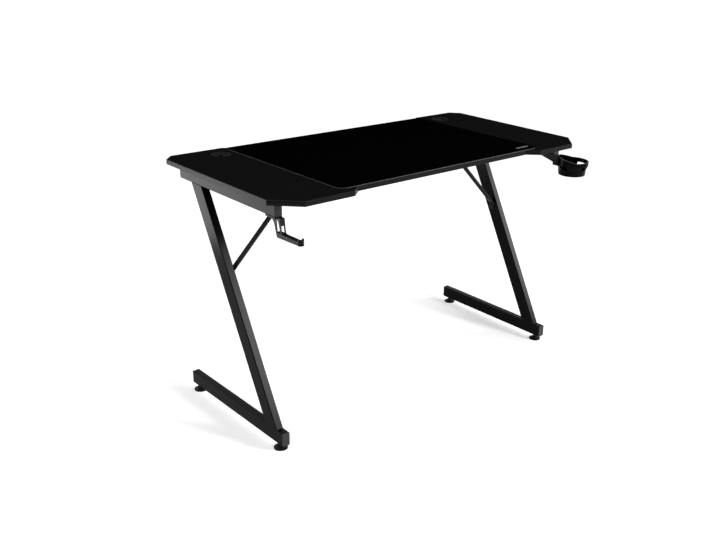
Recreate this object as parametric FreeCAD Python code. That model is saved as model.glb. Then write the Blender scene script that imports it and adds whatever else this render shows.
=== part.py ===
import FreeCAD, Part
import math
import os

# A gaming desk: a laminated board with swept corners, carried by two Z-shaped steel frames.
# A cross beam and two round braces tie the frames together under the board.
# Lengths are millimetres and angles degrees. +X is the sitter's right, +Y the rear, +Z up,
# and the floor is at zero. The pieces are drawn about the middle of the board and moved at
# the end, so that the origin lies on the floor under the middle of the whole desk.

# Board
desk_width = 1200.0
desk_depth = 600.0
desk_height = 742.0
board_thickness = 14.0
edge_band_thickness = 1.0
edge_band_round = 0.6
front_corner_cut = 68.0
rear_corner_cut = 31.0
front_wing_width = 227.0
front_recess_depth = 30.0
front_recess_run = 35.0
rear_wing_width = 198.0
rear_recess_depth = 15.0
rear_recess_run = 25.0

# Mouse mat
mat_side_inset = 205.0
mat_thickness = 2.0
mat_edge_inset = 0.5
mat_front_radius = 40.0
mat_rear_radius = 12.0

# Cable grommets, one in each rear wing
grommet_side_inset = 152.0
grommet_rear_inset = 74.0
grommet_lip = 3.0
grommet_lip_height = 2.0
grommet_lip_round = 1.0
grommet_wall = 1.5
grommet_ledge = 3.5
grommet_depth = 20.0
grommet_hole_clearance = 0.2
disc_diameter = 50.4
disc_thickness = 4.0
disc_clearance = 0.3
disc_rim = 6.0
disc_dish_depth = 1.0
disc_slot_width = 16.0
disc_slot_centre = 12.0
disc_slot_turn = 37.0

# Steel tubes of the frames
tube_width = 23.5
tube_height = 40.0
tube_wall = 1.5
tube_bore_radius = 1.0
leg_depth = 48.0
frame_side_inset = 30.0
frame_rear_inset = 37.5
beam_rear_inset = 12.0
beam_length = 472.5
foot_length = 491.0
leg_foot_inset = 58.0
leg_head_inset = 100.5

# Plastic end caps of the tubes
cap_flange = 3.0
cap_flange_round = 1.2
cap_plug_depth = 10.0
cap_plug_wall = 1.8
cap_clearance = 0.15

# Cross beam with its welded end plates
cross_beam_inset = 225.5
cross_plate_thickness = 3.0
cross_plate_length = 66.0
cross_plate_radius = 5.0
cross_bolt_spacing = 44.0

# Braces: round tube, flattened and bent at both ends
brace_diameter = 14.0
brace_wall = 1.2
brace_tab_thickness = 3.0
brace_tab_width = 22.0
brace_tab_reach = 13.0
brace_bend_share = 0.8
brace_bolt_drop = 4.0
brace_flat_run = 8.0
brace_taper_run = 30.0

# Bolts and nuts of the frame
bolt_diameter = 6.0
bolt_clearance = 0.25
bolt_head_diameter = 11.0
bolt_head_height = 3.4
bolt_head_round = 1.5
bolt_socket = 4.0
bolt_socket_depth = 2.0
bolt_end = 1.5
nut_width = 10.0
nut_height = 5.0
top_bolt_shares = (0.21, 0.65, 0.94)
cross_top_bolt_offset = 48.0
insert_diameter = 9.0
insert_length = 11.0
insert_clearance = 0.1

# Levellers: moulded pad on a threaded stud
pad_diameter = 40.0
pad_edge_height = 3.0
pad_cone_height = 8.0
pad_cone_diameter = 19.0
pad_hex_width = 15.0
pad_height = 12.0
pad_edge_round = 0.8
stud_diameter = 8.0
stud_seat = 6.0
stud_exposed = 6.5
stud_inside = 25.0
stud_clearance = 0.08
stud_seat_clearance = 0.1
stud_hole_clearance = 0.4
leveller_nut_width = 13.0
leveller_nut_height = 6.5
leveller_front_inset = 28.0
leveller_rear_inset = 25.0

# Screws of the two accessories under the beams
screw_diameter = 4.0
screw_head_diameter = 8.5
screw_head_height = 2.6
screw_head_round = 1.1
screw_socket = 2.5
screw_socket_depth = 1.5
screw_end = 6.0
screw_clearance = 0.2

# Headset hook
hook_width = 15.0
hook_flange = 4.0
hook_flange_length = 59.0
hook_post_depth = 29.5
hook_post_forward = 16.5
hook_front_lean = 4.5
hook_rear_lean = 13.5
hook_drop = 52.5
hook_arm = 12.5
hook_arm_taper = 2.5
hook_reach = 106.0
hook_nose_radius = 8.5
hook_lip_height = 7.0
hook_lip_wall = 3.5
hook_lip_back = 5.0
hook_arch_radius = 25.0
hook_heel_radius = 6.0
hook_throat_radius = 6.0
hook_rear_strut = 12.0
hook_front_strut = 4.0
hook_window_foot = 1.0
hook_window_head = 2.0
hook_window_lean = 4.5
hook_side_wall = 2.5
hook_slot_height = 20.0
hook_screw_inset = 5.8
hook_screw_spread = 11.0

# Cup holder
cup_out = 43.0
cup_forward = 36.5
cup_drop = 19.0
cup_ring_radius = 53.0
cup_ring_band = 14.0
cup_window_height = 12.0
cup_rim_radius = 47.0
cup_base_radius = 45.0
cup_bowl_height = 21.0
cup_wall = 3.0
cup_floor = 3.0
cup_edge_round = 1.2
cup_window_width = 30.0
cup_window_round = 3.0
cup_drain_radius = 6.0
cup_drain_circle = 24.0
cup_drains = 6
cup_collar_run = 62.0
cup_flange = 4.0
cup_flange_length = 95.0
cup_block_depth = 20.5
cup_block_forward = -5.0
cup_block_height = 29.5
cup_rib_wall = 4.0
cup_rib_length = 80.0
cup_rib_height = 20.0
cup_screw_insets = (12.0, 40.0)

# One overrun serves every cut
overrun = 5.0

Vector = FreeCAD.Vector
X = Vector(1, 0, 0)
Y = Vector(0, 1, 0)
Z = Vector(0, 0, 1)
LEFT = -1
RIGHT = 1
SIDES = {"left": LEFT, "right": RIGHT}

# Levels and places that follow from the sizes above
half_width = desk_width / 2
front_edge_y = -desk_depth / 2
rear_edge_y = desk_depth / 2
board_bottom = desk_height - board_thickness
beam_bottom = board_bottom - tube_height
beam_middle = board_bottom - tube_height / 2
foot_bottom = pad_height + stud_exposed
foot_top = foot_bottom + tube_height
foot_middle = foot_bottom + tube_height / 2
outer_x = half_width - frame_side_inset
inner_x = outer_x - tube_width
frame_x = outer_x - tube_width / 2
frame_rear_y = rear_edge_y - frame_rear_inset
beam_rear_y = frame_rear_y - beam_rear_inset
beam_front_y = beam_rear_y - beam_length
foot_front_y = frame_rear_y - foot_length
cross_beam_y = frame_rear_y - cross_beam_inset
leg_foot_y = foot_front_y + leg_foot_inset
leg_head_y = frame_rear_y - leg_head_inset
leg_slope = (leg_head_y - leg_foot_y) / (beam_bottom - foot_top)
brace_bolt_z = foot_top + (cross_beam_y - leg_foot_y) / leg_slope - brace_bolt_drop
cross_bolt_ys = [cross_beam_y + turn * cross_bolt_spacing / 2 for turn in (LEFT, RIGHT)]
top_bolt_ys = [beam_front_y + share * beam_length for share in top_bolt_shares]
mat_half = half_width - mat_side_inset
grommet_x = half_width - grommet_side_inset
grommet_y = rear_edge_y - grommet_rear_inset
recess_radius = disc_diameter / 2 + disc_clearance
sleeve_radius = recess_radius + grommet_wall
leveller_ys = {"front": foot_front_y + leveller_front_inset, "rear": frame_rear_y - leveller_rear_inset}
hook_front_y = beam_front_y - hook_post_forward
hook_rear_y = hook_front_y + hook_flange_length
hook_nose_y = hook_front_y + hook_post_depth - hook_reach
hook_screws = [(LEFT * frame_x + turn * hook_screw_spread / 2, hook_rear_y - hook_screw_inset)
               for turn in (LEFT, RIGHT)]
cup_x = frame_x + cup_out
cup_y = beam_front_y - cup_forward
cup_top = beam_bottom - cup_drop
cup_front_y = beam_front_y - cup_block_forward - cup_block_depth
cup_rear_y = cup_front_y + cup_flange_length
cup_screws = [(RIGHT * frame_x, cup_rear_y - inset) for inset in cup_screw_insets]

# The origin lies under the middle of the whole desk, cup holder and hook included
reach_right = max(half_width, cup_x + cup_ring_radius)
reach_front = min(front_edge_y, cup_y - cup_ring_radius, hook_nose_y - hook_nose_radius)
origin = Vector((reach_right - half_width) / 2, (reach_front + rear_edge_y) / 2, 0)


# General shapes

def place(shape, base, x_way, z_way):
    """A copy of the shape, moved to base, with its own X and Z along the two ways given."""
    turn = FreeCAD.Rotation(x_way, z_way.cross(x_way), z_way, "ZXY")
    placed = shape.copy()
    placed.Placement = FreeCAD.Placement(base, turn).multiply(shape.Placement)
    return placed


def block(x_low, x_high, y_low, y_high, z_low, z_high):
    """A box between two corners."""
    return Part.makeBox(x_high - x_low, y_high - y_low, z_high - z_low, Vector(x_low, y_low, z_low))


def rod(radius, start, end):
    """A round rod between two points."""
    return Part.makeCylinder(radius, (end - start).Length, start, end - start)


def prism(points, way):
    """A straight prism on a closed outline of points."""
    return Part.Face(Part.makePolygon(points + points[:1])).extrude(way)


def turned(outline):
    """A solid turned about Z from an outline of radius and height pairs."""
    points = [Vector(radius, 0, height) for radius, height in outline]
    return Part.Face(Part.makePolygon(points + points[:1])).revolve(Vector(), Z, 360)


def bar(width, depth, length, radius):
    """A bar along Z, centred on its axis, with its long edges rounded."""
    body = Part.makeBox(width, depth, length, Vector(-width / 2, -depth / 2, 0))
    return round_edges(body, radius, lambda edge: runs_along(edge, Z))


def runs_along(edge, way):
    """Whether an edge is straight and parallel to the way given."""
    first, last = edge.Vertexes[0].Point, edge.Vertexes[-1].Point
    return edge.Curve.TypeId == "Part::GeomLine" and (last - first).cross(way).Length < 1e-6 * edge.Length


def lies_at_height(edge, height):
    """Whether a whole edge lies at one height."""
    return abs(edge.BoundBox.ZMin - height) + abs(edge.BoundBox.ZMax - height) < 1e-6


def round_edges(solid, radius, wanted):
    """The solid with each wanted edge rounded."""
    return solid.makeFillet(radius, [edge for edge in solid.Edges if wanted(edge)])


def tube(width, depth, length):
    """A rectangular steel tube along Z with open ends."""
    outside = bar(width, depth, length, tube_bore_radius + tube_wall)
    bore = bar(width - 2 * tube_wall, depth - 2 * tube_wall, length + 2 * overrun, tube_bore_radius)
    bore.translate(-overrun * Z)
    return outside.cut(bore)


def hexagon(width, height):
    """A hexagonal prism along Z, width across its flats."""
    corner = width / math.sqrt(3)
    turns = [math.radians(60 * step) for step in range(6)]
    return prism([Vector(corner * math.cos(a), corner * math.sin(a), 0) for a in turns], height * Z)


def cut_all(body, tools):
    """The body with every tool cut out of it."""
    for tool in tools:
        body = body.cut(tool)
    return body


# Fasteners

def button_bolt(diameter, length, head_diameter, head_height, head_round, socket, socket_depth):
    """A button-head bolt along Z: its head stands below zero and its shank above."""
    head = Part.makeCylinder(head_diameter / 2, head_height, -head_height * Z)
    head = round_edges(head, head_round, lambda edge: lies_at_height(edge, -head_height))
    drive = hexagon(socket, socket_depth + overrun)
    drive.translate(-(head_height + overrun) * Z)
    return head.cut(drive).fuse(Part.makeCylinder(diameter / 2, length)).removeSplitter()


def frame_bolt(length):
    """A bolt of the frame with the shank length given."""
    return button_bolt(bolt_diameter, length, bolt_head_diameter, bolt_head_height, bolt_head_round,
                       bolt_socket, bolt_socket_depth)


def accessory_screw(length):
    """A screw of the hook or the cup holder with the shank length given."""
    return button_bolt(screw_diameter, length, screw_head_diameter, screw_head_height,
                       screw_head_round, screw_socket, screw_socket_depth)


def hex_nut(width, height, bore_diameter):
    """A hexagonal nut along Z, standing on zero."""
    return hexagon(width, height).cut(rod(bore_diameter / 2, -overrun * Z, (height + overrun) * Z))


def bolt_hole(start, end):
    """The clearance hole of a frame bolt between two points."""
    return rod(bolt_diameter / 2 + bolt_clearance, start, end)


# Board, edge band and mat

def board_outline():
    """The outline of the board with its swept corners and recessed front and rear edges."""
    front = half_width - front_wing_width
    rear = half_width - rear_wing_width
    right = [
        (front - front_recess_run, front_edge_y + front_recess_depth),
        (front, front_edge_y),
        (half_width - front_corner_cut, front_edge_y),
        (half_width, front_edge_y + front_corner_cut),
        (half_width, rear_edge_y - rear_corner_cut),
        (half_width - rear_corner_cut, rear_edge_y),
        (rear, rear_edge_y),
        (rear - rear_recess_run, rear_edge_y - rear_recess_depth),
    ]
    left = [(-x, y) for x, y in reversed(right)]
    points = [Vector(x, y, board_bottom) for x, y in right + left]
    return Part.Face(Part.makePolygon(points + points[:1]))


def board_core():
    """The outline of the board inside its edge band, with sharp corners."""
    return board_outline().makeOffset2D(-edge_band_thickness, join=2)


def top_bolt_places():
    """The place of every bolt that holds the board, at the beams' underside."""
    beams = [(side * frame_x, y) for side in SIDES.values() for y in top_bolt_ys]
    cross = [(side * cross_top_bolt_x(), cross_beam_y) for side in SIDES.values()]
    return [Vector(x, y, beam_bottom) for x, y in beams + cross]


def table_top():
    """The board with its grommet holes and the blind holes of its threaded inserts."""
    board = board_core().extrude(board_thickness * Z)
    hole_radius = sleeve_radius + grommet_hole_clearance
    for side in SIDES.values():
        foot = Vector(side * grommet_x, grommet_y, board_bottom - overrun)
        board = board.cut(rod(hole_radius, foot, foot + (board_thickness + 2 * overrun) * Z))
    pocket_radius = insert_diameter / 2 + insert_clearance
    for seat in top_bolt_places():
        mouth = seat + tube_height * Z
        board = board.cut(rod(pocket_radius, mouth - overrun * Z, mouth + insert_length * Z))
    return board


def edge_band():
    """The plastic band glued round the edge of the board."""
    band = board_outline().extrude(board_thickness * Z)
    levels = (board_bottom, desk_height)
    band = round_edges(band, edge_band_round, lambda edge: any(lies_at_height(edge, z) for z in levels))
    return band.cut(board_core().extrude(board_thickness * Z))


def mouse_mat():
    """The mat that lies on the board, flush with the recessed front and rear edges."""
    front = front_edge_y + front_recess_depth + mat_edge_inset
    rear = rear_edge_y - rear_recess_depth - mat_edge_inset
    mat = block(-mat_half, mat_half, front, rear, desk_height, desk_height + mat_thickness)
    mat = round_edges(mat, mat_front_radius,
                      lambda edge: runs_along(edge, Z) and edge.BoundBox.YMax < cross_beam_y)
    return round_edges(mat, mat_rear_radius, lambda edge: runs_along(edge, Z)
                       and edge.BoundBox.YMin > rear - mat_edge_inset)


# Grommets

def grommet_sleeve(side):
    """The flanged sleeve of a cable grommet, with a ledge for its cap."""
    top = grommet_lip_height
    ledge = top - disc_thickness
    bore_radius = recess_radius - grommet_ledge
    lip_radius = sleeve_radius + grommet_lip
    sleeve = turned([
        (bore_radius, -grommet_depth),
        (sleeve_radius, -grommet_depth),
        (sleeve_radius, 0),
        (lip_radius, 0),
        (lip_radius, top),
        (recess_radius, top),
        (recess_radius, ledge),
        (bore_radius, ledge),
    ])
    sleeve = round_edges(sleeve, grommet_lip_round,
                         lambda edge: lies_at_height(edge, top) and edge.BoundBox.XMax > sleeve_radius)
    sleeve.translate(Vector(side * grommet_x, grommet_y, desk_height))
    return sleeve


def grommet_cap(side):
    """The turning cap of a cable grommet: a dished disc with a slot for the cables."""
    top = grommet_lip_height
    foot = top - disc_thickness
    radius = disc_diameter / 2
    disc = turned([
        (0, foot),
        (radius, foot),
        (radius, top),
        (radius - disc_rim, top),
        (radius - disc_rim - disc_dish_depth, top - disc_dish_depth),
        (0, top - disc_dish_depth),
    ])
    half = disc_slot_width / 2
    centre = Vector(0, -disc_slot_centre, foot - overrun)
    mouth = rod(half, centre, centre + (disc_thickness + 2 * overrun) * Z)
    throat = block(-half, half, -radius - overrun, -disc_slot_centre, foot - overrun, top + overrun)
    disc = disc.cut(mouth.fuse(throat))
    disc.rotate(Vector(), Z, side * disc_slot_turn)
    disc.translate(Vector(side * grommet_x, grommet_y, desk_height))
    return disc


# Z frames

def top_beam(side):
    """The beam under one end of the board, with the holes of all that is fastened to it."""
    x = side * frame_x
    length = beam_length - 2 * cap_flange
    beam = place(tube(tube_width, tube_height, length),
                 Vector(x, beam_front_y + cap_flange, beam_middle), X, Y)
    through = [bolt_hole(Vector(x, y, beam_bottom - overrun), Vector(x, y, board_bottom + overrun))
               for y in top_bolt_ys]
    wall_end = side * (inner_x + tube_wall + overrun)
    inward = [bolt_hole(Vector(side * (inner_x - overrun), y, beam_middle), Vector(wall_end, y, beam_middle))
              for y in cross_bolt_ys]
    below = screw_holes(hook_screws if side == LEFT else cup_screws, beam_bottom + tube_wall, tube_wall)
    return cut_all(beam, through + inward + below)


def leg(side):
    """The sloping tube of a Z frame, cut level to the foot beam and the top beam."""
    foot = Vector(side * frame_x, leg_foot_y, foot_top)
    head = Vector(side * frame_x, leg_head_y, beam_bottom)
    way = (head - foot).normalize()
    spare = leg_depth
    body = place(tube(tube_width, leg_depth, (head - foot).Length + 2 * spare), foot - spare * way, X, way)
    slab = block(foot.x - tube_width, foot.x + tube_width, leg_foot_y - 2 * spare, leg_head_y + 2 * spare,
                 foot_top, beam_bottom)
    hole = bolt_hole(Vector(side * (inner_x - overrun), cross_beam_y, brace_bolt_z),
                     Vector(side * (inner_x + tube_wall + overrun), cross_beam_y, brace_bolt_z))
    return body.common(slab).cut(hole)


def foot_beam(side):
    """The beam on the floor side of a Z frame, with the holes of its two levellers."""
    x = side * frame_x
    beam = place(tube(tube_width, tube_height, foot_length - 2 * cap_flange),
                 Vector(x, foot_front_y + cap_flange, foot_middle), X, Y)
    holes = [rod(stud_diameter / 2 + stud_hole_clearance, Vector(x, y, foot_bottom - overrun),
                 Vector(x, y, foot_bottom + tube_wall + overrun)) for y in leveller_ys.values()]
    return cut_all(beam, holes)


def end_cap():
    """A tube's plastic end cap along Z: its flange below zero and its hollow plug above."""
    flange = bar(tube_width, tube_height, cap_flange, tube_bore_radius + tube_wall)
    flange.translate(-cap_flange * Z)
    flange = round_edges(flange, cap_flange_round, lambda edge: lies_at_height(edge, -cap_flange))
    width = tube_width - 2 * (tube_wall + cap_clearance)
    height = tube_height - 2 * (tube_wall + cap_clearance)
    plug = bar(width, height, cap_plug_depth, tube_bore_radius)
    hollow = bar(width - 2 * cap_plug_wall, height - 2 * cap_plug_wall, cap_plug_depth + overrun,
                 tube_bore_radius)
    return flange.fuse(plug.cut(hollow)).removeSplitter()


def tube_caps(side, front_y, rear_y, middle):
    """The two end caps of one beam."""
    front = Vector(side * frame_x, front_y + cap_flange, middle)
    rear = Vector(side * frame_x, rear_y - cap_flange, middle)
    return Part.makeCompound([place(end_cap(), front, X, Y), place(end_cap(), rear, X, -Y)])


# Cross beam and braces

def cross_beam():
    """The beam between the two frames, under the middle of the board."""
    half = inner_x - cross_plate_thickness
    beam = place(tube(tube_width, tube_height, 2 * half), Vector(-half, cross_beam_y, beam_middle), Y, X)
    holes = []
    for side in SIDES.values():
        seat = Vector(side * cross_top_bolt_x(), cross_beam_y, beam_bottom - overrun)
        holes.append(bolt_hole(seat, seat + (tube_height + 2 * overrun) * Z))
        tab = Vector(side * brace_head_bolt_x(), cross_beam_y, beam_bottom)
        holes.append(bolt_hole(tab - overrun * Z, tab + (tube_wall + overrun) * Z))
    return cut_all(beam, holes)


def cross_plate(side):
    """The plate welded to one end of the cross beam and bolted to the top beam."""
    plate = place(bar(cross_plate_length, tube_height, cross_plate_thickness, cross_plate_radius),
                  Vector(side * (inner_x - cross_plate_thickness), cross_beam_y, beam_middle), Y, side * X)
    holes = [bolt_hole(Vector(side * (inner_x - cross_plate_thickness - overrun), y, beam_middle),
                       Vector(side * (inner_x + overrun), y, beam_middle)) for y in cross_bolt_ys]
    return cut_all(plate, holes)


def brace_foot_bend():
    """Distance from the middle and height of the bend at the lower end of a brace."""
    return inner_x - brace_tab_thickness / 2, brace_bolt_z + brace_tab_reach


def brace_head_bend():
    """Distance from the middle and height of the bend at the upper end of a brace."""
    foot_x, foot_z = brace_foot_bend()
    head_z = beam_bottom - brace_tab_thickness / 2
    return foot_x - (head_z - foot_z), head_z


def brace_head_bolt_x():
    """Distance from the middle of the bolt at the upper end of a brace."""
    return brace_head_bend()[0] - brace_tab_reach


def cross_top_bolt_x():
    """Distance from the middle of the bolts that hold the board to the cross beam."""
    return brace_head_bolt_x() - cross_top_bolt_offset


def four_edges(corners, crowns):
    """A closed wire through four corners, each edge crowned through its middle point or straight."""
    edges = []
    for step, crown in enumerate(crowns):
        start, end = corners[step], corners[(step + 1) % len(corners)]
        line = Part.LineSegment(start, end) if crown is None else Part.Arc(start, crown, end)
        edges.append(line.toShape())
    return Part.Wire(edges)


def flat_section(height):
    """The outline of the flattened tube at one height: straight faces and round edges."""
    side = brace_tab_width / 2
    top = brace_tab_thickness / 2
    run = side - top
    corners = [Vector(x, y, height) for x, y in ((-top, run), (-top, -run), (top, -run), (top, run))]
    return four_edges(corners, (None, Vector(0, -side, height), None, Vector(0, side, height)))


def round_section(height):
    """The outline of the round tube at one height, in four arcs."""
    radius = brace_diameter / 2
    step = radius * math.sqrt(0.5)
    corners = [Vector(x, y, height) for x, y in ((-step, step), (-step, -step), (step, -step), (step, step))]
    crowns = [Vector(x, y, height) for x, y in ((-radius, 0), (0, -radius), (radius, 0), (0, radius))]
    return four_edges(corners, crowns)


def brace_tab(bend, bolt):
    """A flat end of a brace, from its bend to the round end about its bolt."""
    way = (bolt - bend).normalize()
    strip = Part.makeBox(brace_tab_thickness, brace_tab_width, (bolt - bend).Length,
                         Vector(-brace_tab_thickness / 2, -brace_tab_width / 2, 0))
    across = Y.cross(way)
    eye = rod(brace_tab_width / 2, bolt - brace_tab_thickness / 2 * across,
              bolt + brace_tab_thickness / 2 * across)
    hole = bolt_hole(bolt - overrun * across, bolt + overrun * across)
    knuckle = rod(brace_bend_share * brace_tab_thickness / 2, bend - brace_tab_width / 2 * Y,
                  bend + brace_tab_width / 2 * Y)
    return place(strip, bend, across, way).fuse([eye, knuckle]).cut(hole)


def brace(side):
    """A round brace from a leg's inner face up to the cross beam, flat and bent at both ends."""
    foot_x, foot_z = brace_foot_bend()
    head_x, head_z = brace_head_bend()
    foot = Vector(side * foot_x, cross_beam_y, foot_z)
    head = Vector(side * head_x, cross_beam_y, head_z)
    span = (head - foot).Length
    way = (head - foot).normalize()
    taper = brace_flat_run + brace_taper_run
    sections = [flat_section(0), flat_section(brace_flat_run), round_section(taper), round_section(span - taper),
                flat_section(span - brace_flat_run), flat_section(span)]
    bore = rod(brace_diameter / 2 - brace_wall, taper * Z, (span - taper) * Z)
    shaft = Part.makeLoft(sections, True, True).cut(bore)
    shaft = place(shaft, foot, Y.cross(way), way)
    foot_tab = brace_tab(foot, foot - brace_tab_reach * Z)
    head_tab = brace_tab(head, head - side * brace_tab_reach * X)
    return shaft.fuse([foot_tab, head_tab]).removeSplitter()


def cross_bolts():
    """The bolts that hold the cross beam's plates to the top beams."""
    length = cross_plate_thickness + tube_wall + nut_height + bolt_end
    seats = [(side, Vector(side * (inner_x - cross_plate_thickness), y, beam_middle))
             for side in SIDES.values() for y in cross_bolt_ys]
    return Part.makeCompound([place(frame_bolt(length), seat, Y, side * X) for side, seat in seats])


def brace_bolts():
    """The bolts at both ends of the two braces."""
    length = brace_tab_thickness + tube_wall + nut_height + bolt_end
    bolts = []
    for side in SIDES.values():
        foot = Vector(side * (inner_x - brace_tab_thickness), cross_beam_y, brace_bolt_z)
        head = Vector(side * brace_head_bolt_x(), cross_beam_y, beam_bottom - brace_tab_thickness)
        bolts.append(place(frame_bolt(length), foot, Y, side * X))
        bolts.append(place(frame_bolt(length), head, X, Z))
    return Part.makeCompound(bolts)


def weld_nuts():
    """The nuts welded inside the tubes for the bolts of the cross beam and the braces."""
    nut = hex_nut(nut_width, nut_height, bolt_diameter + 2 * bolt_clearance)
    nuts = []
    for side in SIDES.values():
        wall = side * (inner_x + tube_wall)
        sideways = [Vector(wall, y, beam_middle) for y in cross_bolt_ys]
        sideways.append(Vector(wall, cross_beam_y, brace_bolt_z))
        nuts += [place(nut, seat, Y, side * X) for seat in sideways]
        nuts.append(place(nut, Vector(side * brace_head_bolt_x(), cross_beam_y, beam_bottom + tube_wall), X, Z))
    return Part.makeCompound(nuts)


def top_bolts():
    """The long bolts that pass up through the beams into the board."""
    length = tube_height + insert_length - bolt_end
    return Part.makeCompound([place(frame_bolt(length), seat, X, Z) for seat in top_bolt_places()])


def top_inserts():
    """The threaded inserts in the underside of the board."""
    outside = Part.makeCylinder(insert_diameter / 2, insert_length)
    insert = outside.cut(rod(bolt_diameter / 2 + insert_clearance, -overrun * Z,
                             (insert_length + overrun) * Z))
    return Part.makeCompound([place(insert, seat + tube_height * Z, X, Z) for seat in top_bolt_places()])


# Levellers

def leveller_pad(side, y):
    """The moulded pad of a leveller, with a conical top and a hexagonal neck."""
    pad = turned([
        (0, 0),
        (pad_diameter / 2, 0),
        (pad_diameter / 2, pad_edge_height),
        (pad_cone_diameter / 2, pad_cone_height),
        (0, pad_cone_height),
    ])
    pad = round_edges(pad, pad_edge_round, lambda edge: lies_at_height(edge, pad_edge_height))
    pad = pad.fuse(hexagon(pad_hex_width, pad_height)).removeSplitter()
    seat = rod(stud_diameter / 2 + stud_seat_clearance, stud_seat * Z, (pad_height + overrun) * Z)
    return place(pad.cut(seat), Vector(side * frame_x, y, 0), X, Z)


def leveller_stud(side, y):
    """The threaded stud that stands in a leveller's pad and screws into the foot beam."""
    base = Vector(side * frame_x, y, 0)
    return rod(stud_diameter / 2, base + stud_seat * Z, base + (foot_bottom + stud_inside) * Z)


def leveller_nuts():
    """The nuts welded inside the foot beams for the levellers."""
    nut = hex_nut(leveller_nut_width, leveller_nut_height, stud_diameter + 2 * stud_clearance)
    return Part.makeCompound([place(nut, Vector(side * frame_x, y, foot_bottom + tube_wall), X, Z)
                              for side in SIDES.values() for y in leveller_ys.values()])


# Headset hook

def screw_holes(places, top, thickness):
    """The screw holes through an accessory's flange or the wall that it is screwed to."""
    radius = screw_diameter / 2 + screw_clearance
    return [rod(radius, Vector(x, y, top - thickness - overrun), Vector(x, y, top + overrun)) for x, y in places]


def hook_corner(edge, y, z):
    """Whether an edge of the hook runs across it through one corner of its profile."""
    middle = edge.CenterOfMass
    return runs_along(edge, X) and math.hypot(middle.y - y, middle.z - z) < hook_throat_radius / 2


def headset_hook():
    """The hook under the left beam: flange, windowed post, arm and a scooped, upturned nose."""
    x = LEFT * frame_x
    half = hook_width / 2
    flange_foot = beam_bottom - hook_flange
    arm_foot = beam_bottom - hook_drop
    arm_top = arm_foot + hook_arm
    post_rear = hook_front_y + hook_post_depth
    heel = post_rear - hook_rear_lean
    throat = hook_front_y - hook_front_lean
    nose_foot = arm_foot + hook_arm_taper
    profile = [(hook_rear_y, beam_bottom), (hook_rear_y, flange_foot), (post_rear, flange_foot),
               (heel, arm_foot), (hook_nose_y, nose_foot), (hook_nose_y, arm_top), (throat, arm_top),
               (hook_front_y, flange_foot), (hook_front_y, beam_bottom)]
    hook = prism([Vector(x - half, y, z) for y, z in profile], hook_width * X)
    for radius, y, z in ((hook_arch_radius, post_rear, flange_foot), (hook_heel_radius, heel, arm_foot),
                         (hook_throat_radius, throat, arm_top)):
        hook = round_edges(hook, radius, lambda edge: hook_corner(edge, y, z))
    flange = block(-outer_x, -inner_x, beam_front_y, hook_rear_y, flange_foot, beam_bottom)
    hook = hook.fuse([flange, hook_nose(x, nose_foot, arm_top)])
    hook = cut_all(hook, hook_windows(x, arm_foot, arm_top, flange_foot))
    return cut_all(hook, screw_holes(hook_screws, beam_bottom, hook_flange)).removeSplitter()


def hook_nose(x, nose_foot, arm_top):
    """The round end of the hook's arm, with a lip round its front."""
    lip_top = arm_top + hook_lip_height
    centre = Vector(x, hook_nose_y, nose_foot)
    nose = rod(hook_nose_radius, centre, Vector(x, hook_nose_y, lip_top))
    scoop = rod(hook_nose_radius - hook_lip_wall, Vector(x, hook_nose_y, arm_top),
                Vector(x, hook_nose_y, lip_top + overrun))
    open_rear = block(x - hook_nose_radius - overrun, x + hook_nose_radius + overrun,
                      hook_nose_y + hook_lip_back - hook_lip_wall, hook_nose_y + hook_nose_radius + overrun,
                      arm_top, lip_top + overrun)
    return cut_all(nose, [scoop, open_rear])


def hook_windows(x, arm_foot, arm_top, flange_foot):
    """The openings of the hook's post: through both side walls, between them, and low in the front."""
    low = arm_top + hook_window_foot
    high = flange_foot - hook_window_head
    post_rear = hook_front_y + hook_post_depth
    front_slope = hook_front_lean / (flange_foot - arm_top)
    rear_slope = hook_window_lean / (flange_foot - arm_foot)
    inside = [(hook_front_y + hook_front_strut - front_slope * (flange_foot - z), z) for z in (low, high)]
    rear = [(post_rear - hook_rear_strut - rear_slope * (flange_foot - z), z) for z in (high, low)]
    outside = hook_width / 2 + overrun
    through = prism([Vector(x - outside, y, z) for y, z in inside + rear], 2 * outside * X)
    wide = hook_width / 2 - hook_side_wall
    behind = [(post_rear + overrun, z) for z in (high, low)]
    channel = prism([Vector(x - wide, y, z) for y, z in inside + behind], 2 * wide * X)
    slot = block(x - wide, x + wide, hook_front_y - hook_front_lean - overrun, inside[1][0], low,
                 low + hook_slot_height)
    return [through, channel, slot]


# Cup holder

def cup_shell():
    """The ring, struts and bowl of the cup holder, turned in one and cut by four windows."""
    band_foot = -cup_ring_band
    rim = band_foot - cup_window_height
    foot = rim - cup_bowl_height
    shell = turned([
        (0, foot),
        (cup_base_radius, foot),
        (cup_rim_radius, rim),
        (cup_ring_radius, band_foot),
        (cup_ring_radius, 0),
        (cup_ring_radius - cup_wall, 0),
        (cup_ring_radius - cup_wall, band_foot),
        (cup_rim_radius - cup_wall, rim),
        (cup_base_radius - cup_wall, foot + cup_floor),
        (0, foot + cup_floor),
    ])
    shell = round_edges(shell, cup_edge_round, lambda edge: lies_at_height(edge, foot)
                        or (lies_at_height(edge, 0) and edge.BoundBox.XMax > cup_ring_radius - cup_wall / 2))
    window = bar(cup_window_height, cup_window_width, cup_ring_radius + overrun, cup_window_round)
    middle = (band_foot + rim) / 2 * Z
    for turn in range(4):
        way = Vector(math.cos(turn * math.pi / 2), math.sin(turn * math.pi / 2), 0)
        shell = shell.cut(place(window, middle, Z, way))
    for step in range(cup_drains):
        turn = 2 * math.pi * step / cup_drains
        drain = cup_drain_circle * Vector(math.cos(turn), math.sin(turn), 0) + foot * Z
        shell = shell.cut(rod(cup_drain_radius, drain - overrun * Z, drain + (cup_floor + overrun) * Z))
    shell.translate(Vector(cup_x, cup_y, cup_top))
    return shell


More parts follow.
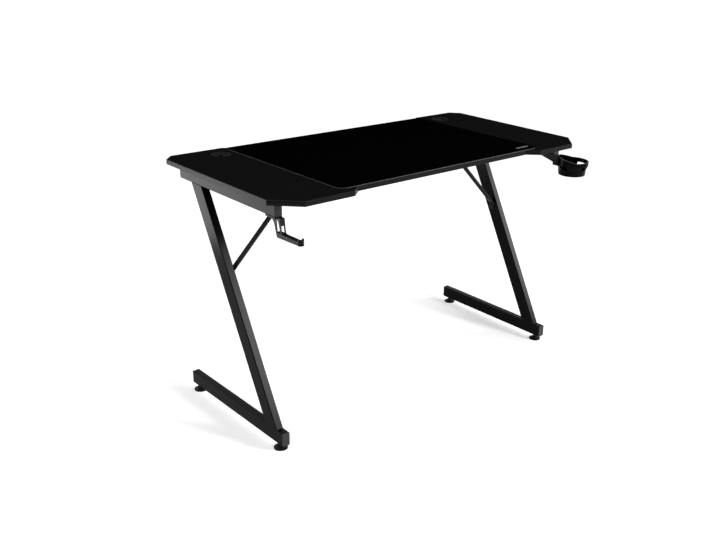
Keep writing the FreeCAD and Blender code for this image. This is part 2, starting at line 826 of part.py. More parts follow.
def cup_collar():
    """The wall of the ring where it sweeps up to the bracket."""
    centre = Vector(cup_x, cup_y, cup_top)
    height = cup_drop - cup_flange
    wall = rod(cup_ring_radius, centre, centre + height * Z)
    wall = wall.cut(rod(cup_ring_radius - cup_wall, centre, centre + height * Z))
    out = (X - Y).normalize()
    across = (X + Y).normalize()
    start = Vector(frame_x, beam_front_y, cup_top) - 2 * cup_ring_radius * across
    wedge = prism([start - cup_ring_radius * out, start + cup_collar_run * out, start + height * Z,
                   start - cup_ring_radius * out + height * Z], 4 * cup_ring_radius * across)
    return wall.common(wedge)


def cup_bracket():
    """The flange under the right beam, its two ribs and the block that carries the ring."""
    flange_foot = beam_bottom - cup_flange
    block_rear = cup_front_y + cup_block_depth
    flange = block(inner_x, outer_x, cup_front_y, cup_rear_y, flange_foot, beam_bottom)
    carrier = block(inner_x, cup_x, cup_front_y, block_rear, flange_foot - cup_block_height, flange_foot)
    ribs = []
    for x in (inner_x, outer_x - cup_rib_wall):
        corners = [(block_rear, flange_foot), (block_rear, flange_foot - cup_rib_height),
                   (block_rear + cup_rib_length, flange_foot)]
        ribs.append(prism([Vector(x, y, z) for y, z in corners], cup_rib_wall * X))
    return flange.fuse([carrier] + ribs)


def cup_holder():
    """The moulded cup holder outside the right front corner of the board."""
    rim = Vector(cup_x, cup_y, cup_top - cup_ring_band - cup_window_height)
    well = rod(cup_ring_radius - cup_wall, rim, Vector(cup_x, cup_y, beam_bottom + overrun))
    holder = cup_bracket().fuse(cup_collar()).cut(well).fuse(cup_shell())
    return cut_all(holder, screw_holes(cup_screws, beam_bottom, cup_flange)).removeSplitter()


def flange_screws(places, flange):
    """The two screws of an accessory's flange."""
    length = flange + tube_wall + screw_end
    return Part.makeCompound([place(accessory_screw(length), Vector(x, y, beam_bottom - flange), X, Z)
                              for x, y in places])


# Assembly

def desk_pieces():
    """Every piece of the desk by its name."""
    pieces = {"table_top": table_top(), "edge_band": edge_band(), "mouse_mat": mouse_mat()}
    for name, side in SIDES.items():
        pieces[name + "_top_beam"] = top_beam(side)
        pieces[name + "_leg"] = leg(side)
        pieces[name + "_foot_beam"] = foot_beam(side)
        pieces[name + "_beam_caps"] = tube_caps(side, beam_front_y, beam_rear_y, beam_middle)
        pieces[name + "_foot_caps"] = tube_caps(side, foot_front_y, frame_rear_y, foot_middle)
        pieces[name + "_cross_plate"] = cross_plate(side)
        pieces[name + "_brace"] = brace(side)
        pieces[name + "_grommet_sleeve"] = grommet_sleeve(side)
        pieces[name + "_grommet_cap"] = grommet_cap(side)
        for end, y in leveller_ys.items():
            pieces[f"{end}_{name}_leveller_pad"] = leveller_pad(side, y)
            pieces[f"{end}_{name}_leveller_stud"] = leveller_stud(side, y)
    pieces["cross_beam"] = cross_beam()
    pieces["cross_bolts"] = cross_bolts()
    pieces["brace_bolts"] = brace_bolts()
    pieces["weld_nuts"] = weld_nuts()
    pieces["top_bolts"] = top_bolts()
    pieces["top_inserts"] = top_inserts()
    pieces["leveller_nuts"] = leveller_nuts()
    pieces["headset_hook"] = headset_hook()
    pieces["hook_screws"] = flange_screws(hook_screws, hook_flange)
    pieces["cup_holder"] = cup_holder()
    pieces["cup_holder_screws"] = flange_screws(cup_screws, cup_flange)
    return pieces


os.makedirs("parts", exist_ok=True)
for piece_name, piece in desk_pieces().items():
    piece.translate(-origin)
    piece.exportStep(f"parts/{piece_name}.step")
    print(piece_name, len(piece.Solids), piece.isValid(), round(piece.Volume))
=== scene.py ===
"""A gaming desk: the finishes of its pieces, its laid mouse mat, its threaded levellers and a studio."""

import logging
import math
from dataclasses import dataclass
from enum import Enum
from typing import Any, Callable, Iterable

import bmesh
import bpy
from mathutils import Matrix, Vector


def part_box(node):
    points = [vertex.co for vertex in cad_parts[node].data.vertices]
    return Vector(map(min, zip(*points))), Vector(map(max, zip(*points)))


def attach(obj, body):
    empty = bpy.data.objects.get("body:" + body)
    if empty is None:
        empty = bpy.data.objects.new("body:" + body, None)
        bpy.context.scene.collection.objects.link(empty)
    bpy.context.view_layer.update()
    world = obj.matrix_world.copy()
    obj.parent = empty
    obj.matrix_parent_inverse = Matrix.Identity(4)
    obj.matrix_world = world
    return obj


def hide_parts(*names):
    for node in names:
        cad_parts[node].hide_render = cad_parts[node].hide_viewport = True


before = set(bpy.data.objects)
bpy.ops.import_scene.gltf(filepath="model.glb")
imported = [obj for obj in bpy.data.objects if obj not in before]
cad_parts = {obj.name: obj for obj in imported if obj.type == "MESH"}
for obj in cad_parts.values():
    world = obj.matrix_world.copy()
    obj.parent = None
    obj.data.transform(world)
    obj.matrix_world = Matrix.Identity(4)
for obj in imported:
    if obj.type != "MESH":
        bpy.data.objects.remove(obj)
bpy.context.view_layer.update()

LOG = logging.getLogger("gaming_desk")
MM = 0.001
SIDES = ("left", "right")
ENDS = ("front", "rear")
DESK = "desk"
UP = Vector((0.0, 0.0, 1.0))
WHITE = "#ffffff"
# The profile of a bevel that is part of a circle.
ROUND = 0.5
# A face looks up if its normal rises more than this.
UPWARD = 0.9
# Heights that differ by less than this, in metres, are the same.
TOUCH = 1e-6
# Blender's wave texture turns by this many radians in a metre at a scale of one.
WAVE_TURN = 20


# ---------------------------------------------------------------- tools


class Part(Enum):
    """What a selection in edit mode is made of."""

    VERTS = "VERT"
    EDGES = "EDGE"
    FACES = "FACE"


def linear(colour: str) -> tuple[float, float, float, float]:
    """Turn an sRGB hex colour into linear light.

    Args:
        colour: six hex digits after a hash.

    Returns:
        Red, green, blue and a full alpha.
    """
    shares = [int(colour[i:i + 2], 16) / 255 for i in (1, 3, 5)]
    light = [s / 12.92 if s <= 0.04045 else ((s + 0.055) / 1.055) ** 2.4 for s in shares]
    return (light[0], light[1], light[2], 1.0)


def add_node(tree: bpy.types.NodeTree, kind: str, inputs: dict[Any, Any] | None = None,
             **settings: Any) -> bpy.types.Node:
    """Add one shader node with its settings and links.

    Args:
        tree: the material's or the world's nodes.
        kind: Blender's name of the node, without its prefix.
        inputs: for each socket's name or number, the value to set or the output to link.
        settings: properties of the node.

    Returns:
        The new node.
    """
    node = tree.nodes.new("ShaderNode" + kind)
    for name, value in settings.items():
        setattr(node, name, value)
    for key, value in (inputs or {}).items():
        if isinstance(value, bpy.types.NodeSocket):
            tree.links.new(value, node.inputs[key])
        else:
            node.inputs[key].default_value = value
    return node


def reckon(tree: bpy.types.NodeTree, operation: str, *values: Any) -> bpy.types.NodeSocket:
    """Add one step of arithmetic.

    Args:
        tree: the nodes to add it to.
        operation: Blender's name of the step.
        values: the numbers or outputs that go into it.

    Returns:
        The result.
    """
    return add_node(tree, "Math", dict(enumerate(values)), operation=operation).outputs[0]


def blend(tree: bpy.types.NodeTree, share: bpy.types.NodeSocket, none: str,
          full: str) -> bpy.types.NodeSocket:
    """Blend two colours.

    Args:
        tree: the nodes to add it to.
        share: how much of the second colour there is.
        none: the colour at a share of zero.
        full: the colour at a share of one.

    Returns:
        The blended colour.
    """
    inputs = {0: share, 6: linear(none), 7: linear(full)}
    return add_node(tree, "Mix", inputs, data_type="RGBA").outputs[2]


def emboss(tree: bpy.types.NodeTree, height: bpy.types.NodeSocket,
           depth_mm: float) -> bpy.types.NodeSocket:
    """Raise a pattern from the surface.

    Args:
        tree: the nodes to add it to.
        height: the pattern, from zero to one.
        depth_mm: how high it stands at one.

    Returns:
        The normal of the embossed surface.
    """
    inputs = {"Height": height, "Strength": 1.0, "Distance": depth_mm * MM}
    return add_node(tree, "Bump", inputs).outputs["Normal"]


def deselect() -> None:
    """Clear the selection, so that the next operator acts on the new piece alone."""
    bpy.ops.object.select_all(action="DESELECT")


def take(piece: bpy.types.Object) -> None:
    """Make a piece the active one and the only one selected.

    Args:
        piece: the piece.
    """
    deselect()
    piece.select_set(True)
    bpy.context.view_layer.objects.active = piece


def edit(piece: bpy.types.Object) -> None:
    """Open a piece for editing.

    Args:
        piece: the piece.
    """
    take(piece)
    bpy.ops.object.mode_set(mode="EDIT")


def close() -> None:
    """Leave edit mode."""
    bpy.ops.object.mode_set(mode="OBJECT")


def pick(piece: bpy.types.Object, part: Part, wanted: Callable[[Any], bool]) -> None:
    """Select the wanted elements of a piece that is open for editing, and no others.

    Args:
        piece: the open piece.
        part: what to select.
        wanted: whether one element is to be selected.
    """
    bpy.ops.mesh.select_mode(type=part.value)
    bpy.ops.mesh.select_all(action="DESELECT")
    mesh = bmesh.from_edit_mesh(piece.data)
    for element in getattr(mesh, part.name.lower()):
        element.select_set(wanted(element))
    mesh.select_flush_mode()
    bmesh.update_edit_mesh(piece.data)


def pick_all() -> None:
    """Select everything of the piece that is open for editing."""
    bpy.ops.mesh.select_all(action="SELECT")


def raise_faces(height: float) -> None:
    """Extrude the selected faces.

    Args:
        height: how far up, or down if it is negative.
    """
    bpy.ops.mesh.extrude_region_move(TRANSFORM_OT_translate={"value": (0.0, 0.0, height)})


def turn_outward() -> None:
    """Turn all faces of the piece that is open for editing to the outside."""
    pick_all()
    bpy.ops.mesh.normals_make_consistent(inside=False)


def settle(piece: bpy.types.Object, name: str) -> bpy.types.Object:
    """Name a new piece and put its place into its mesh.

    Args:
        piece: the piece where its primitive was added.
        name: its name from here on.

    Returns:
        The same piece, at the origin.
    """
    piece.name = name
    piece.data.name = name
    take(piece)
    bpy.ops.object.transform_apply(location=True, rotation=True, scale=True)
    return piece


def smooth(piece: bpy.types.Object, degrees: float) -> None:
    """Shade a piece smooth.

    Args:
        piece: the piece.
        degrees: edges that turn more than this stay sharp.
    """
    take(piece)
    bpy.ops.object.shade_smooth_by_angle(angle=math.radians(degrees))


# ---------------------------------------------------------------- finishes


@dataclass(frozen=True)
class Finish:
    """What every finish has: a name, a gloss and a way to draw its surface."""

    name: str
    roughness: float
    specular: float
    metallic: float = 0.0

    def surface(self, tree: bpy.types.NodeTree, place: bpy.types.NodeSocket) -> dict[str, Any]:
        """Draw the surface.

        Args:
            tree: the material's nodes.
            place: the Object coordinates, in metres.

        Returns:
            Values and outputs for the shader's sockets.
        """
        raise NotImplementedError

    def make(self) -> bpy.types.Material:
        """Make the material, once.

        Returns:
            The material of this finish.
        """
        found = bpy.data.materials.get(self.name)
        if found:
            return found
        material = bpy.data.materials.new(self.name)
        material.use_nodes = True
        tree = material.node_tree
        tree.nodes.clear()
        place = add_node(tree, "TexCoord").outputs["Object"]
        inputs = {"Metallic": self.metallic, "Specular IOR Level": self.specular}
        inputs.update(self.surface(tree, place))
        shader = add_node(tree, "BsdfPrincipled", inputs)
        add_node(tree, "OutputMaterial", {"Surface": shader.outputs["BSDF"]})
        return material


@dataclass(frozen=True)
class Grained(Finish):
    """A finish with a fine even grain: paint, moulded plastic, rubber or metal."""

    dark: str = "#101010"
    light: str = "#181818"
    grain_mm: float = 2.0
    grain_depth_mm: float = 0.02
    grain_detail: float = 2.0
    cloud_mm: float = 60.0
    cloud_detail: float = 3.0
    gloss_swing: float = 0.06

    def surface(self, tree: bpy.types.NodeTree, place: bpy.types.NodeSocket) -> dict[str, Any]:
        """Draw a cloudy colour and gloss over a fine grain.

        Args:
            tree: the material's nodes.
            place: the Object coordinates, in metres.

        Returns:
            Values and outputs for the shader's sockets.
        """
        cloud, grain = (
            add_node(tree, "TexNoise", {"Vector": place, "Scale": 1 / (size * MM), "Detail": detail})
            for size, detail in ((self.cloud_mm, self.cloud_detail), (self.grain_mm, self.grain_detail)))
        gloss = add_node(tree, "MapRange", {"Value": grain.outputs["Fac"],
                                            "To Min": self.roughness - self.gloss_swing,
                                            "To Max": self.roughness + self.gloss_swing})
        return {"Base Color": blend(tree, cloud.outputs["Fac"], self.dark, self.light),
                "Roughness": gloss.outputs["Result"],
                "Normal": emboss(tree, grain.outputs["Fac"], self.grain_depth_mm)}


@dataclass(frozen=True)
class Twill(Finish):
    """A printed and embossed two-by-two twill, as on foil made to look like carbon fibre."""

    warp: str = "#161616"
    weft: str = "#0b0b0b"
    tow_mm: float = 4.0
    emboss_mm: float = 0.06
    upright: bool = False
    # Each tow passes over two others and then under two.
    repeat: float = 4.0
    passes_over: float = 2.0
    # How bright a tow is at its sides and at its crown.
    crown_tone: tuple[float, float] = (0.75, 1.1)
    # How much rougher the weft and the warp are than the finish as a whole.
    gloss_steps: tuple[float, float] = (0.06, -0.04)

    def surface(self, tree: bpy.types.NodeTree, place: bpy.types.NodeSocket) -> dict[str, Any]:
        """Draw crossing tows, each a low ridge, that pass over and under two at a time.

        Args:
            tree: the material's nodes.
            place: the Object coordinates, in metres.

        Returns:
            Values and outputs for the shader's sockets.
        """
        axes = add_node(tree, "SeparateXYZ", {"Vector": place}).outputs
        if self.upright:
            # Along an upright edge the tows count along the edge and up it, round every corner.
            ways = (reckon(tree, "ADD", axes["X"], axes["Y"]), axes["Z"])
        else:
            ways = (axes["X"], axes["Y"])
        tows = [reckon(tree, "DIVIDE", way, self.tow_mm * MM) for way in ways]
        total = reckon(tree, "ADD", *(reckon(tree, "FLOOR", tow) for tow in tows))
        step = reckon(tree, "FLOORED_MODULO", total, self.repeat)
        # The steps are whole numbers, so the limit lies between two of them.
        over = reckon(tree, "LESS_THAN", step, self.passes_over - 0.5)
        shares = [reckon(tree, "PINGPONG", tow, 1.0) for tow in tows]
        crowns = [reckon(tree, "SINE", reckon(tree, "MULTIPLY", share, math.pi)) for share in shares]
        crown = add_node(tree, "Mix", {0: over, 2: crowns[1], 3: crowns[0]}, data_type="FLOAT").outputs[0]
        tone = add_node(tree, "MapRange", {"Value": crown, "To Min": self.crown_tone[0],
                                           "To Max": self.crown_tone[1]})
        colour = add_node(tree, "VectorMath", {0: blend(tree, over, self.weft, self.warp),
                                               "Scale": tone.outputs["Result"]}, operation="SCALE")
        gloss = add_node(tree, "MapRange", {"Value": over, "To Min": self.roughness + self.gloss_steps[0],
                                            "To Max": self.roughness + self.gloss_steps[1]})
        return {"Base Color": colour.outputs["Vector"], "Roughness": gloss.outputs["Result"],
                "Normal": emboss(tree, crown, self.emboss_mm)}


@dataclass(frozen=True)
class Woven(Finish):
    """A close weave or knit: the cloth of the mat and its label."""

    dark: str = "#020202"
    light: str = "#060606"
    thread_mm: float = 1.4
    relief_mm: float = 0.08
    # How many threads wide an uneven patch is.
    patch_threads: float = 3.0

    def surface(self, tree: bpy.types.NodeTree, place: bpy.types.NodeSocket) -> dict[str, Any]:
        """Draw threads across and along, with a little unevenness in their colour.

        Args:
            tree: the material's nodes.
            place: the Object coordinates, in metres.

        Returns:
            Values and outputs for the shader's sockets.
        """
        scale = 2 * math.pi / (self.thread_mm * MM) / WAVE_TURN
        waves = [add_node(tree, "TexWave", {"Vector": place, "Scale": scale, "Distortion": 0.0},
                          bands_direction=way) for way in ("X", "Y")]
        cross = reckon(tree, "MULTIPLY", *(wave.outputs["Fac"] for wave in waves))
        patch = add_node(tree, "TexNoise", {"Vector": place,
                                            "Scale": 1 / (self.thread_mm * self.patch_threads * MM)})
        fleck = reckon(tree, "MULTIPLY", cross, patch.outputs["Fac"])
        return {"Base Color": blend(tree, fleck, self.dark, self.light), "Roughness": self.roughness,
                "Normal": emboss(tree, cross, self.relief_mm)}


class Finishes:
    """The finishes of the desk, each by the material and how it was made.

    The grains are drawn 0.6 to 2.5 mm wide instead of a few tenths of a millimetre, so that they
    show.
    """

    # Foil pressed on chipboard, printed and embossed as carbon twill: a dark, dull chequer.
    # The tows are drawn 4 mm wide instead of about 2 mm, so that they show.
    BOARD = Twill("carbon_print_foil_pressed", roughness=0.62, specular=0.0)
    # The same print on an ABS band, with tows of 3 mm: flatter, slicker and more even.
    EDGE = Twill("carbon_print_abs_edge_banded", roughness=0.34, specular=0.05,
                 warp="#151515", weft="#0e0e0e", tow_mm=3.0, emboss_mm=0.03, upright=True)
    # Polyester knit bonded on rubber: it swallows the light.
    # The stitches are drawn 1.4 mm apart instead of about 0.5 mm, so that they show.
    MAT_CLOTH = Woven("polyester_knit_bonded", roughness=0.95, specular=0.0)
    # Natural rubber, hot pressed and cut: charcoal with a dull cut edge.
    MAT_RUBBER = Grained("natural_rubber_cut", roughness=0.6, specular=0.05,
                         dark="#424242", light="#4c4c4c", grain_mm=1.5, grain_depth_mm=0.05)
    # Powder coat baked on steel: slick deep black with a faint orange peel.
    PAINT = Grained("steel_powder_coated", roughness=0.22, specular=0.035,
                    dark="#070707", light="#0b0b0b", grain_mm=2.5, grain_depth_mm=0.012, cloud_mm=90.0)
    # Powder coat on the thin brace tubes, duller than the frame's, with a greyer colour that is painted
    # light: it stands in for the highlight along the round tubes and for the light they lack in the shade
    # under the board.
    THIN_PAINT = Grained("steel_tube_powder_coated_painted_light", roughness=0.36, specular=0.05,
                         dark="#1b1b1c", light="#222223", grain_mm=2.0, grain_depth_mm=0.01, cloud_mm=50.0)
    # ABS moulded in a spark-eroded tool: even fine grain, satin.
    PLASTIC = Grained("abs_moulded_satin", roughness=0.40, specular=0.08,
                      dark="#0f0f10", light="#151516", grain_mm=1.2, grain_depth_mm=0.02)
    # ABS moulded in a blasted tool: dead matt, so that the grommets vanish in the board.
    MATT = Grained("abs_moulded_matt", roughness=0.7, specular=0.02,
                   dark="#070707", light="#0a0a0a", grain_mm=1.2, grain_depth_mm=0.03)
    # Polyethylene caps, moulded soft: a shade greyer than the paint and waxy.
    CAP = Grained("polyethylene_moulded", roughness=0.5, specular=0.15,
                  dark="#2b2c2d", light="#343536", grain_mm=1.5, grain_depth_mm=0.02)
    # ABS moulded in a polished tool: deep black with sharp reflections and a trace of flow waves,
    # which have their real width.
    GLOSS = Grained("abs_moulded_polished", roughness=0.10, specular=0.035,
                    dark="#040404", light="#060606", grain_mm=14.0, grain_depth_mm=0.02, cloud_mm=40.0,
                    gloss_swing=0.03)
    # Polyamide moulded pads: dull, slightly waxy black.
    FOOT = Grained("polyamide_moulded", roughness=0.5, specular=0.1,
                   dark="#0e0e0f", light="#141415", grain_mm=1.5, grain_depth_mm=0.02)
    # Steel with black zinc plating: dark metal with cloudy patches.
    STUD = Grained("steel_black_zinc_plated", roughness=0.38, specular=0.5, metallic=1.0,
                   dark="#3c3d40", light="#55575a", grain_mm=1.0, grain_depth_mm=0.01, cloud_mm=8.0)
    # Steel blackened in a hot bath: near-black metal with an oily gloss.
    BOLT = Grained("steel_black_oxide", roughness=0.4, specular=0.5, metallic=1.0,
                   dark="#242426", light="#333437", grain_mm=0.8, grain_depth_mm=0.01, cloud_mm=6.0)
    # Turned brass: yellow metal with fine tool marks.
    BRASS = Grained("brass_turned", roughness=0.3, specular=0.5, metallic=1.0,
                    dark="#b08a3c", light="#c79f4e", grain_mm=0.6, grain_depth_mm=0.01, cloud_mm=5.0)
    # Satin-woven polyester label: grey, with its threads drawn 0.9 mm apart instead of about 0.3 mm.
    LABEL = Woven("polyester_label_woven", roughness=0.6, specular=0.1,
                  dark="#505153", light="#77787b", thread_mm=0.9, relief_mm=0.04)


def dress(nodes: Iterable[str], finish: Finish) -> None:
    """Give CAD nodes a finish.

    Args:
        nodes: the nodes' names.
        finish: the finish that all their slots get.
    """
    for name in nodes:
        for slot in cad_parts[name].material_slots:
            slot.material = finish.make()
        LOG.info("dressed %s in %s", name, finish.name)


# ---------------------------------------------------------------- the desk


@dataclass
class Board:
    """The board with its edge band and its two cable grommets."""

    def build(self) -> None:
        """Dress the pieces."""
        dress(["table_top"], Finishes.BOARD)
        dress(["edge_band"], Finishes.EDGE)
        dress([f"{side}_grommet_{piece}" for side in SIDES for piece in ("sleeve", "cap")], Finishes.MATT)


@dataclass
class MouseMat:
    """The mat on the board: knit bonded on rubber, cut with round corners and laid flat."""

    front_radius: float = 40 * MM
    rear_radius: float = 12 * MM
    corner_steps: int = 14
    thickness: float = 2.6 * MM
    stand_out: float = 2.5 * MM
    edge_round: float = 0.5 * MM
    edge_steps: int = 4
    cloth_thickness: float = 0.7 * MM
    smooth_degrees: float = 50.0
    label_size: tuple[float, float] = (54 * MM, 9 * MM)
    label_radius: float = 2 * MM
    label_corner_steps: int = 5
    label_hem: float = 0.8 * MM
    label_thickness: float = 0.5 * MM
    label_proud: float = 0.3 * MM
    label_inset: tuple[float, float] = (44 * MM, 28.5 * MM)

    def build(self) -> None:
        """Model the mat and its label, and lay them on the board."""
        mat = self.model_mat()
        label = self.model_label()
        for piece in (mat, label):
            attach(piece, DESK)
        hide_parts("mouse_mat")

    def space(self) -> tuple[Vector, Vector]:
        """Find the space of the mat, whose soft rubber stands out a little from the CAD solid.

        Returns:
            Its lowest and its highest corner.
        """
        low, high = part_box("mouse_mat")
        aside = Vector((self.stand_out, 0.0, 0.0))
        return low - aside, Vector((high.x, high.y, low.z + self.thickness)) + aside

    def model_mat(self) -> bpy.types.Object:
        """Cut the outline, raise it to its thickness and round its upper edge.

        Returns:
            The mat, with cloth above and rubber below.
        """
        low, high = self.space()
        middle = (low + high) / 2
        deselect()
        bpy.ops.mesh.primitive_plane_add(size=1.0, location=(middle.x, middle.y, low.z))
        mat = bpy.context.object
        mat.scale = (high.x - low.x, high.y - low.y, 1.0)
        settle(mat, "mouse_mat_cloth")
        edit(mat)
        for radius, at_front in ((self.front_radius, True), (self.rear_radius, False)):
            pick(mat, Part.VERTS, lambda v, f=at_front: (v.co.y < middle.y) == f)
            bpy.ops.mesh.bevel(offset=radius, offset_type="WIDTH", affect="VERTICES",
                               segments=self.corner_steps, profile=ROUND)
        rubber = high.z - low.z - self.cloth_thickness
        for height in (rubber, self.cloth_thickness):
            pick(mat, Part.FACES, lambda f: f.normal.z > UPWARD)
            raise_faces(height)
        pick(mat, Part.EDGES, lambda e: all(v.co.z > high.z - TOUCH for v in e.verts))
        bpy.ops.mesh.bevel(offset=self.edge_round, offset_type="OFFSET", affect="EDGES",
                           segments=self.edge_steps, profile=ROUND)
        turn_outward()
        close()
        seam = high.z - self.cloth_thickness
        mat.data.materials.append(Finishes.MAT_CLOTH.make())
        mat.data.materials.append(Finishes.MAT_RUBBER.make())
        for face in mat.data.polygons:
            face.material_index = 0 if face.center.z > seam else 1
        smooth(mat, self.smooth_degrees)
        LOG.info("modelled %s", mat.name)
        return mat

    def model_label(self) -> bpy.types.Object:
        """Model the blank label at the mat's right front corner.

        Returns:
            The label.
        """
        low, high = self.space()
        place = Vector((high.x - self.stand_out - self.label_inset[0], low.y + self.label_inset[1],
                        high.z + self.label_proud))
        deselect()
        bpy.ops.mesh.primitive_plane_add(size=1.0, location=place)
        label = bpy.context.object
        label.scale = (*self.label_size, 1.0)
        settle(label, "mat_label")
        edit(label)
        pick_all()
        bpy.ops.mesh.bevel(offset=self.label_radius, affect="VERTICES", segments=self.label_corner_steps)
        pick_all()
        bpy.ops.mesh.inset(thickness=self.label_hem)
        pick_all()
        raise_faces(-self.label_thickness)
        turn_outward()
        close()
        label.data.materials.append(Finishes.LABEL.make())
        LOG.info("modelled %s", label.name)
        return label


@dataclass
class SteelFrame:
    """The two Z frames with their cross beam, braces, caps and fasteners."""

    def build(self) -> None:
        """Dress the pieces."""
        tubes = [f"{side}_{piece}" for side in SIDES
                 for piece in ("top_beam", "leg", "foot_beam", "cross_plate")]
        dress([*tubes, "cross_beam"], Finishes.PAINT)
        # The braces get a greyer copy of the frame's paint, as painted light.
        dress([f"{side}_brace" for side in SIDES], Finishes.THIN_PAINT)
        dress([f"{side}_{piece}_caps" for side in SIDES for piece in ("beam", "foot")], Finishes.CAP)
        dress(["cross_bolts", "brace_bolts", "top_bolts", "hook_screws", "cup_holder_screws"],
              Finishes.BOLT)
        dress(["weld_nuts", "leveller_nuts"], Finishes.STUD)
        dress(["top_inserts"], Finishes.BRASS)


@dataclass
class Levellers:
    """The four levellers: a moulded pad on a stud with a real thread."""

    pitch: float = 1.25 * MM
    depth: float = 0.6 * MM
    # How much steeper the flanks are than a plain zigzag, which leaves a flat root.
    flank: float = 1.25
    sides: int = 28
    rings_per_turn: int = 6
    lead: float = 0.8 * MM
    smooth_degrees: float = 30.0

    def build(self) -> None:
        """Dress the pads, model one stud and copy it to every corner."""
        first, *others = (f"{end}_{side}" for end in ENDS for side in SIDES)
        studs = {first: self.model_stud(first)}
        for place in others:
            studs[place] = self.copy_stud(studs[first], first, place)
        for place, stud in studs.items():
            dress([f"{place}_leveller_pad"], Finishes.FOOT)
            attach(stud, f"{place}_leveller")
            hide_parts(f"{place}_leveller_stud")

    def copy_stud(self, stud: bpy.types.Object, first: str, place: str) -> bpy.types.Object:
        """Copy the stud with a mesh of its own to another corner.

        Args:
            stud: the modelled stud.
            first: which leveller it belongs to.
            place: which leveller gets the copy.

        Returns:
            The copy.
        """
        copy = stud.copy()
        copy.data = stud.data.copy()
        bpy.context.scene.collection.objects.link(copy)
        copy.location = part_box(f"{place}_leveller_stud")[0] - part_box(f"{first}_leveller_stud")[0]
        return settle(copy, f"{place}_threaded_stud")

    def model_stud(self, place: str) -> bpy.types.Object:
        """Cut the thread into a rod of many rings.

        Args:
            place: which leveller it is.

        Returns:
            The stud.
        """
        low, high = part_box(f"{place}_leveller_stud")
        middle = (low + high) / 2
        radius = (high.x - low.x) / 2
        deselect()
        bpy.ops.mesh.primitive_cylinder_add(vertices=self.sides, radius=radius, depth=high.z - low.z,
                                            end_fill_type="NGON", location=middle)
        stud = settle(bpy.context.object, f"{place}_threaded_stud")
        edit(stud)
        pick(stud, Part.EDGES, lambda e: abs(e.verts[0].co.z - e.verts[1].co.z) > self.pitch)
        rings = round((high.z - low.z) / self.pitch * self.rings_per_turn)
        bpy.ops.mesh.subdivide(number_cuts=rings - 1)
        close()
        for vertex in stud.data.vertices:
            out = Vector((vertex.co.x - middle.x, vertex.co.y - middle.y, 0.0))
            turn = math.atan2(out.y, out.x) / (2 * math.pi)
            share = ((vertex.co.z - low.z) / self.pitch - turn) % 1.0
            groove = self.depth * min(1.0, self.flank * abs(2 * share - 1))
            end = min(vertex.co.z - low.z, high.z - vertex.co.z)
            reach = radius - max(groove, self.lead - end)
            vertex.co = Vector((middle.x, middle.y, vertex.co.z)) + out.normalized() * reach
        stud.data.materials.append(Finishes.STUD.make())
        smooth(stud, self.smooth_degrees)
        LOG.info("modelled %s", stud.name)
        return stud


@dataclass
class Accessories:
    """The headset hook and the cup holder."""

    def build(self) -> None:
        """Dress the pieces."""
        dress(["headset_hook"], Finishes.PLASTIC)
        dress(["cup_holder"], Finishes.GLOSS)


# ---------------------------------------------------------------- the studio


@dataclass(frozen=True)
class PhotoCamera:
    """The camera at the photograph's viewing angle: metres in the desk's own frame, and degrees."""

    place: tuple[float, float, float] = (-1.763519, -1.944364, 1.362207)
    turn: float = -43.6
    tilt: float = -22.137
    roll: float = 1.893
    focal_px: float = 863.643
    centre_px: tuple[float, float] = (412.787, 283.103)
    frame_px: tuple[int, int] = (716, 540)
    sensor_mm: float = 36.0

    def build(self) -> None:
        """Make the camera and set it as the scene's own."""
        turn, tilt, roll = (math.radians(a) for a in (self.turn, self.tilt, self.roll))
        ahead = Vector((-math.sin(turn) * math.cos(tilt), math.cos(turn) * math.cos(tilt), math.sin(tilt)))
        right = ahead.cross(UP).normalized()
        above = right.cross(ahead)
        across = right * math.cos(roll) + above * math.sin(roll)
        rise = above * math.cos(roll) - right * math.sin(roll)
        data = bpy.data.cameras.new("photo_camera")
        data.sensor_width = self.sensor_mm
        data.lens = self.focal_px / self.frame_px[0] * self.sensor_mm
        data.shift_x = (self.frame_px[0] / 2 - self.centre_px[0]) / self.frame_px[0]
        data.shift_y = (self.centre_px[1] - self.frame_px[1] / 2) / self.frame_px[0]
        camera = bpy.data.objects.new("photo_camera", data)
        bpy.context.scene.collection.objects.link(camera)
        facing = Matrix((across, rise, -ahead)).transposed().to_4x4()
        camera.matrix_world = Matrix.Translation(self.place) @ facing
        bpy.context.scene.camera = camera


@dataclass(frozen=True)
class SoftBox:
    """One soft studio lamp: metres, watts, and the degrees that its light spreads over."""

    name: str
    place: tuple[float, float, float]
    aim: tuple[float, float, float]
    size: tuple[float, float]
    watts: float
    spread: float = 180.0

    def build(self) -> None:
        """Hang the lamp and turn it to its aim."""
        data = bpy.data.lights.new(self.name, "AREA")
        data.shape = "RECTANGLE"
        data.size, data.size_y = self.size
        data.energy = self.watts
        data.spread = math.radians(self.spread)
        lamp = bpy.data.objects.new(self.name, data)
        bpy.context.scene.collection.objects.link(lamp)
        lamp.visible_camera = False
        lamp.location = self.place
        lamp.rotation_mode = "QUATERNION"
        lamp.rotation_quaternion = (Vector(self.aim) - Vector(self.place)).to_track_quat("-Z", "Y")


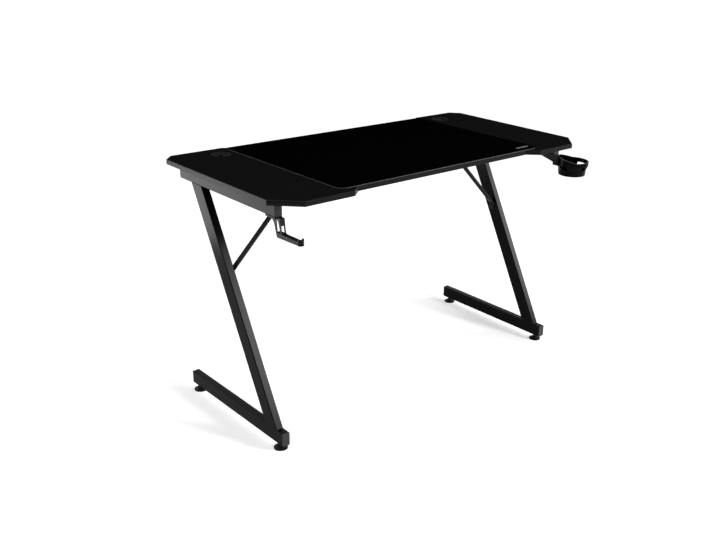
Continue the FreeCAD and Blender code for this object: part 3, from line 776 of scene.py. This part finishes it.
@dataclass
class Studio:
    """A pale floor in white surroundings, with soft lamps."""

    floor_size: float = 40.0
    floor_colour: tuple[str, str] = ("#e9e9e9", "#efefef")
    floor_clouds_per_metre: float = 3.0
    # The floor's own glow near the desk and far from it, and between which distances it rises.
    glow_shares: tuple[float, float] = (0.36, 0.66)
    glow_reach: tuple[float, float] = (0.5, 2.2)
    room_light: float = 0.42
    lamps: tuple[SoftBox, ...] = (
        # Mirrored in the front of the left leg and of the right one.
        SoftBox("front", (1.5, -3.4, 1.85), (-0.57, -0.1, 0.3), (0.7, 1.3), 34.0, 90.0),
        SoftBox("right", (2.9, -2.0, 1.4), (0.55, -0.1, 0.3), (0.6, 1.2), 18.0, 90.0),
        # Picks out the mat's left edge.
        SoftBox("left", (-2.6, 0.4, 2.0), (-0.2, 0.0, 0.74), (1.6, 1.2), 4.5, 60.0),
        # A strip mirrored in the left faces of the board, the beam and the upper leg.
        SoftBox("left_rear", (-1.15, 0.95, 0.36), (-0.65, 0.15, 0.36), (1.3, 0.34), 2.3, 70.0),
        # Fills from above.
        SoftBox("top", (0.3, -0.3, 3.4), (0.0, 0.0, 0.4), (3.0, 2.5), 8.0),
    )

    def build(self) -> None:
        """Set the view, the room, the floor and the lamps."""
        bpy.context.scene.view_settings.view_transform = "Standard"
        self.light_room()
        self.lay_floor()
        for lamp in self.lamps:
            lamp.build()

    def seen(self, tree: bpy.types.NodeTree) -> bpy.types.NodeSocket:
        """Tell whether a ray is seen by the camera, straight, in a gloss or through glass.

        Args:
            tree: the nodes to add it to.

        Returns:
            One for such a ray, zero for the light that falls on the desk.
        """
        ray = add_node(tree, "LightPath").outputs
        straight_or_gloss = reckon(tree, "MAXIMUM", ray["Is Camera Ray"], ray["Is Glossy Ray"])
        return reckon(tree, "MAXIMUM", straight_or_gloss, ray["Is Transmission Ray"])

    def light_room(self) -> None:
        """Make the surroundings white to look at and gentler as a light."""
        world = bpy.data.worlds.new("white_room")
        bpy.context.scene.world = world
        world.use_nodes = True
        tree = world.node_tree
        tree.nodes.clear()
        level = add_node(tree, "MapRange", {"Value": self.seen(tree), "To Min": self.room_light,
                                            "To Max": 1.0})
        light = add_node(tree, "Background", {"Color": linear(WHITE), "Strength": level.outputs["Result"]})
        add_node(tree, "OutputWorld", {"Surface": light.outputs["Background"]})

    def lay_floor(self) -> None:
        """Lay the floor, which takes the desk's shadow."""
        deselect()
        bpy.ops.mesh.primitive_plane_add(size=self.floor_size, location=(0.0, 0.0, 0.0))
        floor = settle(bpy.context.object, "studio_floor")
        material = bpy.data.materials.new("floor_paint_rolled")
        material.use_nodes = True
        tree = material.node_tree
        tree.nodes.clear()
        place = add_node(tree, "TexCoord").outputs["Object"]
        cloud = add_node(tree, "TexNoise", {"Vector": place, "Scale": self.floor_clouds_per_metre})
        colour = blend(tree, cloud.outputs["Fac"], *self.floor_colour)
        paint = add_node(tree, "BsdfDiffuse", {"Color": colour})
        # Away from the lamps the floor makes up in glow what it lacks in light, so that it stays white.
        far = add_node(tree, "VectorMath", {0: place}, operation="LENGTH")
        glow = add_node(tree, "MapRange", {"Value": far.outputs["Value"],
                                           "From Min": self.glow_reach[0], "From Max": self.glow_reach[1],
                                           "To Min": self.glow_shares[0], "To Max": self.glow_shares[1]},
                        interpolation_type="SMOOTHSTEP")
        level = reckon(tree, "MULTIPLY", self.seen(tree), glow.outputs["Result"])
        shine = add_node(tree, "Emission", {"Color": linear(WHITE), "Strength": level})
        both = add_node(tree, "AddShader", {0: paint.outputs["BSDF"], 1: shine.outputs["Emission"]})
        add_node(tree, "OutputMaterial", {"Surface": both.outputs["Shader"]})
        floor.data.materials.append(material)


def main() -> None:
    """Build the camera, the desk and the studio in order."""
    logging.basicConfig(level=logging.INFO, format="%(message)s")
    for builder in (PhotoCamera(), Board(), MouseMat(), SteelFrame(), Levellers(), Accessories(), Studio()):
        builder.build()
        LOG.info("built %s", type(builder).__name__)


if __name__ == "__main__":
    main()
